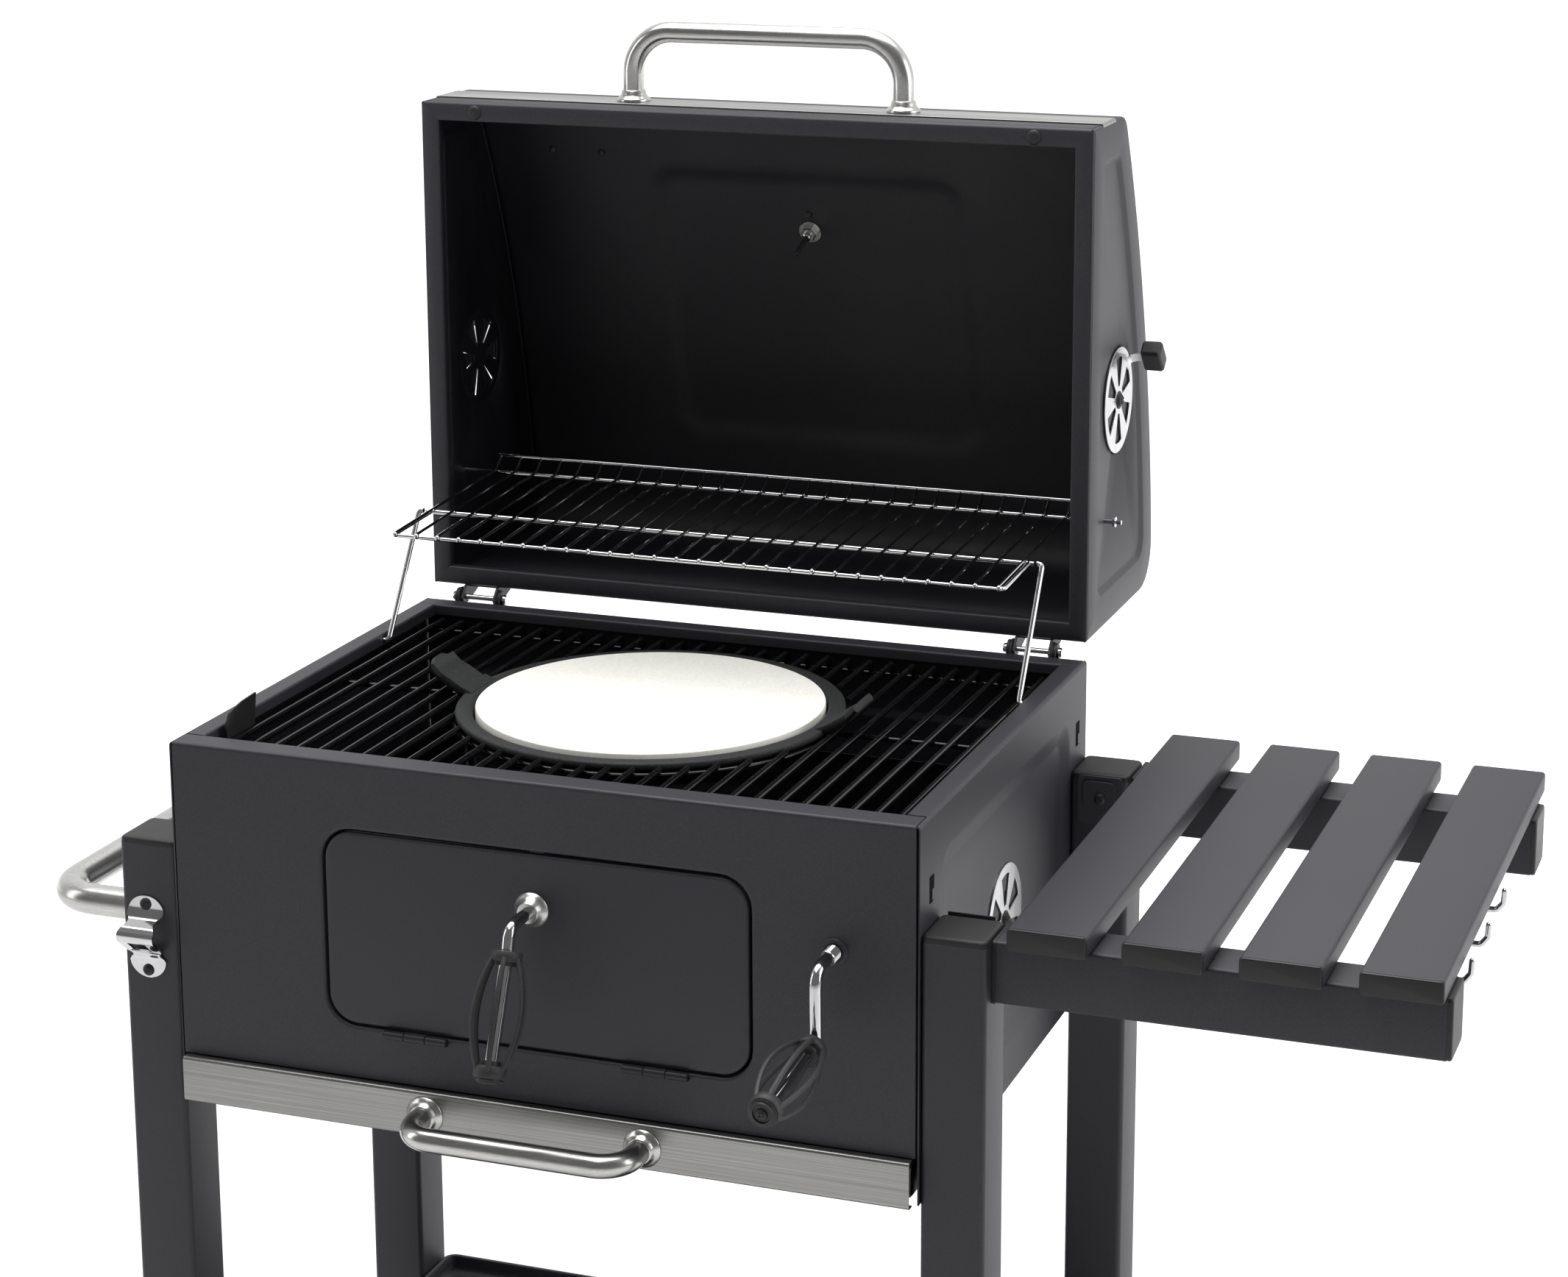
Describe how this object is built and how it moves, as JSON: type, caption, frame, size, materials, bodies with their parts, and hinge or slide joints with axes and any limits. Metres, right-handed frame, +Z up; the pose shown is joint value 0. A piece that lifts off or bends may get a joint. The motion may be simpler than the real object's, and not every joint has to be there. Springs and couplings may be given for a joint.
{
  "type": "charcoal grill trolley",
  "caption": "Hooded charcoal grill trolley with a lift-up lid, warming rack, pizza stone in the grate, front coal door, ash drawer, crank, slatted side table and push handle.",
  "frame": {"origin": "centre of the bounding box in plan, on the floor, lid open", "axes": "+Z up, -Y towards the user, +X towards the slatted side table"},
  "size_m": [1.1518, 0.838, 1.3679],
  "materials": {
    "powder_coat": "matte fine-grain dark grey powder coat",
    "black_plastic": "matte black",
    "chrome": "polished",
    "grip_rubber": "matte dark grey",
    "brushed_stainless": "brushed",
    "satin_stainless": "satin",
    "black_enamel": "glossy black enamel",
    "cast_iron": "rough matte black",
    "stone": "matte cream ceramic stone",
    "wheel_rubber": "matte black"
  },
  "bodies": {
    "frame": {"leg_front_left": "powder_coat", "leg_front_right": "powder_coat", "leg_rear_left": "powder_coat", "leg_rear_right": "powder_coat", "leg_cap_front_left": "black_plastic", "leg_cap_front_right": "black_plastic", "leg_cap_rear_left": "black_plastic", "leg_cap_rear_right": "black_plastic", "foot_front_left": "black_plastic", "foot_rear_left": "black_plastic", "bottom_shelf": "powder_coat", "wheel_axle": "chrome", "firebox_front": "powder_coat", "firebox_side_left": "powder_coat", "firebox_side_right": "powder_coat", "firebox_rear": "powder_coat", "hinge_bracket_left": "powder_coat", "hinge_bracket_right": "powder_coat", "door_hinge_left": "powder_coat", "door_hinge_right": "powder_coat", "push_handle": "satin_stainless", "bottle_opener": "chrome", "table_rail_front": "powder_coat", "table_rail_rear": "powder_coat", "table_slat_1": "powder_coat", "table_slat_2": "powder_coat", "table_slat_3": "powder_coat", "table_slat_4": "powder_coat", "tool_hooks": "chrome"},
    "lid": {"lid_skin": "powder_coat", "lid_side_left": "powder_coat", "lid_side_right": "powder_coat", "lid_strip": "brushed_stainless", "lid_handle": "satin_stainless", "thermometer": "satin_stainless", "lid_hinge_ear_left": "powder_coat", "lid_hinge_ear_right": "powder_coat"},
    "rack": {"warming_rack": "chrome"},
    "rack_leg_l": {"rack_leg_left": "chrome"},
    "rack_leg_r": {"rack_leg_right": "chrome"},
    "lid_vent_l": {"lid_vent_left": "chrome"},
    "lid_vent_r": {"lid_vent_right": "chrome"},
    "firebox_vent_l": {"firebox_vent_left": "chrome"},
    "firebox_vent_r": {"firebox_vent_right": "chrome"},
    "door": {"front_door": "powder_coat"},
    "latch": {"door_latch_rod": "chrome", "door_latch_grip": "grip_rubber"},
    "crank": {"crank_rod": "chrome", "crank_grip": "grip_rubber"},
    "pan": {"coal_pan": "black_enamel"},
    "drawer": {"ash_tray": "black_enamel", "drawer_front": "brushed_stainless", "drawer_handle": "satin_stainless"},
    "grate": {"cooking_grate": "black_enamel"},
    "carrier": {"stone_carrier": "cast_iron"},
    "stone": {"pizza_stone": "stone"},
    "wheel_f": {"wheel_front": "wheel_rubber"},
    "wheel_r": {"wheel_rear": "wheel_rubber"}
  },
  "joints": [
    {"name": "lid_hinge", "type": "hinge", "parent": "frame", "child": "lid", "pos_m": [-0.124, 0.1961, 0.847], "axis": [1, 0, 0], "range_deg": [0, 90]},
    {"name": "rack_pivot", "type": "hinge", "parent": "lid", "child": "rack", "pos_m": [-0.124, 0.2621, 0.949], "axis": [1, 0, 0], "range_deg": [-90, 0]},
    {"name": "rack_leg_left_pivot", "type": "hinge", "parent": "frame", "child": "rack_leg_l", "pos_m": [-0.41, 0.0641, 0.84], "axis": [1, 0, 0], "range_deg": [0, 90]},
    {"name": "rack_leg_right_pivot", "type": "hinge", "parent": "frame", "child": "rack_leg_r", "pos_m": [0.162, 0.0641, 0.84], "axis": [1, 0, 0], "range_deg": [0, 90]},
    {"name": "lid_vent_left_turn", "type": "hinge", "parent": "lid", "child": "lid_vent_l", "pos_m": [-0.431, 0.2971, 1.049], "axis": [1, 0, 0], "range_deg": [-30, 0]},
    {"name": "lid_vent_right_turn", "type": "hinge", "parent": "lid", "child": "lid_vent_r", "pos_m": [0.183, 0.2971, 1.049], "axis": [1, 0, 0], "range_deg": [-30, 0]},
    {"name": "firebox_vent_left_turn", "type": "hinge", "parent": "frame", "child": "firebox_vent_l", "pos_m": [-0.434, -0.0404, 0.6925], "axis": [1, 0, 0], "range_deg": [-30, 0]},
    {"name": "firebox_vent_right_turn", "type": "hinge", "parent": "frame", "child": "firebox_vent_r", "pos_m": [0.186, -0.0404, 0.6925], "axis": [1, 0, 0], "range_deg": [-30, 0]},
    {"name": "door_hinge", "type": "hinge", "parent": "frame", "child": "door", "pos_m": [-0.124, -0.2735, 0.6265], "axis": [1, 0, 0], "range_deg": [0, 95]},
    {"name": "latch_turn", "type": "hinge", "parent": "door", "child": "latch", "pos_m": [-0.124, -0.2699, 0.7442], "axis": [0, 1, 0], "range_deg": [0, 95]},
    {"name": "crank_turn", "type": "hinge", "parent": "frame", "child": "crank", "pos_m": [0.12, -0.2699, 0.7412], "axis": [0, 1, 0], "range_deg": [-720, 1080]},
    {"name": "pan_lift", "type": "slide", "parent": "frame", "child": "pan", "axis": [0, 0, 1], "range_m": [-0.04, 0.06]},
    {"name": "drawer_slide", "type": "slide", "parent": "frame", "child": "drawer", "axis": [0, 1, 0], "range_m": [-0.3, 0]},
    {"name": "grate_lift", "type": "slide", "parent": "frame", "child": "grate", "axis": [0, 0, -1], "range_m": [-0.02, 0]},
    {"name": "carrier_lift", "type": "slide", "parent": "grate", "child": "carrier", "axis": [0, 0, -1], "range_m": [-0.025, 0]},
    {"name": "stone_lift", "type": "slide", "parent": "carrier", "child": "stone", "axis": [0, 0, -1], "range_m": [-0.04, 0]},
    {"name": "wheel_front_spin", "type": "hinge", "parent": "frame", "child": "wheel_f", "pos_m": [0.212, -0.2909, 0.085], "axis": [0, 1, 0], "continuous": true},
    {"name": "wheel_rear_spin", "type": "hinge", "parent": "frame", "child": "wheel_r", "pos_m": [0.212, 0.2131, 0.085], "axis": [0, 1, 0], "continuous": true}
  ],
  "couplings": [
    {"joint": "rack_pivot", "follows": "lid_hinge", "ratio": -1},
    {"joint": "rack_leg_left_pivot", "follows": "lid_hinge", "ratio": 1},
    {"joint": "rack_leg_right_pivot", "follows": "lid_hinge", "ratio": 1},
    {"joint": "latch_turn", "follows": "door_hinge", "ratio": 1},
    {"joint": "crank_turn", "follows": "pan_lift", "rad_per_m": 314.16}
  ]
}
